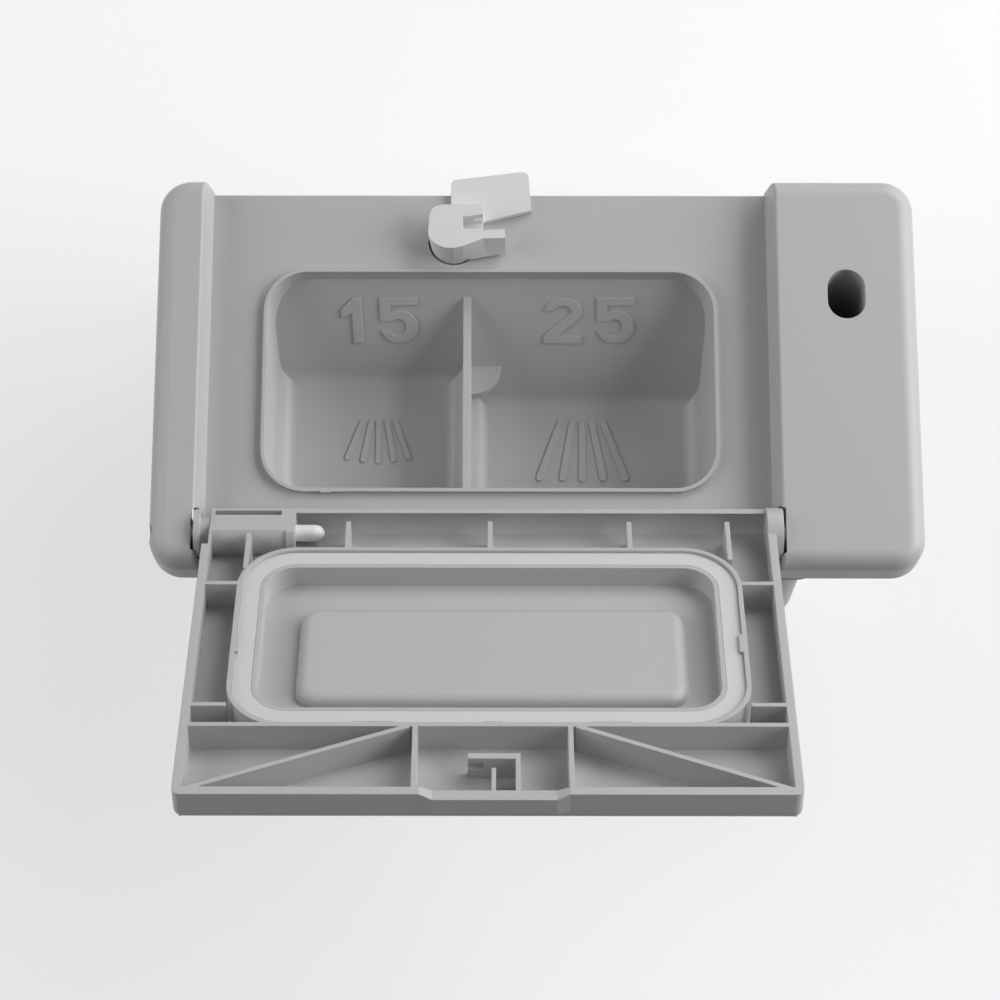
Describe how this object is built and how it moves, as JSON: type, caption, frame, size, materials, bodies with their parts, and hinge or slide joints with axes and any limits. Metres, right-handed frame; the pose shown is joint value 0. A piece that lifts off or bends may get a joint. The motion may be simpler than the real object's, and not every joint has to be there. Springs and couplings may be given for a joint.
{
  "type": "dishwasher detergent dispenser",
  "caption": "Detergent dispenser for a dishwasher door: two-compartment cup, sprung hinged lid with seal ring, turning latch lever and rear shell with latch drive and rinse-aid valve.",
  "frame": {"origin": "bottom centre of the box round the whole part as modelled, with the lid open", "axes": "X runs across the lid hinge, positive towards the block with the oval port; Y points from the hinge to the latch; Z points out of the cup"},
  "size_m": [0.2384, 0.219, 0.1377],
  "materials": {
    "housing_plastic": "fine satin moulding",
    "shell_plastic": "satin moulding",
    "lever_plastic": "pale satin moulding",
    "pin_plastic": "smooth white",
    "seal_rubber": "pale matt rubber",
    "gasket_rubber": "matt dark rubber",
    "spring_steel": "bright spring steel",
    "plated_steel": "zinc plated",
    "winding_copper": "enamelled copper wire"
  },
  "bodies": {
    "housing": {"front_housing": "housing_plastic", "rear_shell": "shell_plastic", "tank_cover": "shell_plastic", "door_gasket": "gasket_rubber", "fixing_clips": "spring_steel", "hinge_pin": "pin_plastic", "crank_spring": "spring_steel", "shaft_seal": "gasket_rubber", "plunger_spring": "spring_steel", "solenoid_bobbin": "lever_plastic", "solenoid_winding": "winding_copper", "solenoid_yoke": "plated_steel", "terminal_blades": "plated_steel", "dosing_spring": "spring_steel"},
    "lid_body": {"lid": "housing_plastic", "lid_seal": "seal_rubber", "lid_spring": "spring_steel"},
    "latch": {"latch_lever": "lever_plastic", "latch_crank": "lever_plastic", "crank_clip": "spring_steel"},
    "plunger": {"solenoid_plunger": "plated_steel"},
    "doser": {"dosing_stem": "lever_plastic", "dosing_seal": "gasket_rubber"}
  },
  "joints": [
    {"name": "lid_hinge", "type": "hinge", "parent": "housing", "child": "lid_body", "pos_m": [0, -0.01131, 0.0666], "axis": [1, 0, 0], "range_deg": [-145.3, 0], "stiffness_Nm_per_rad": 0.03, "springref_deg": 20.05},
    {"name": "latch_turn", "type": "hinge", "parent": "housing", "child": "latch", "pos_m": [-0.02625, 0.08679, 0.06], "axis": [0, 0, 1], "range_deg": [-8, 0]},
    {"name": "plunger_slide", "type": "slide", "parent": "housing", "child": "plunger", "axis": [1, 0, 0], "range_m": [-0.00167, 0]},
    {"name": "dosing_slide", "type": "slide", "parent": "housing", "child": "doser", "axis": [1, 0, 0], "range_m": [-0.0018, 0.0001]}
  ],
  "couplings": [
    {"joint": "latch_turn", "follows": "plunger_slide", "rad_per_m": 83.6},
    {"joint": "dosing_slide", "follows": "plunger_slide", "ratio": 1}
  ]
}
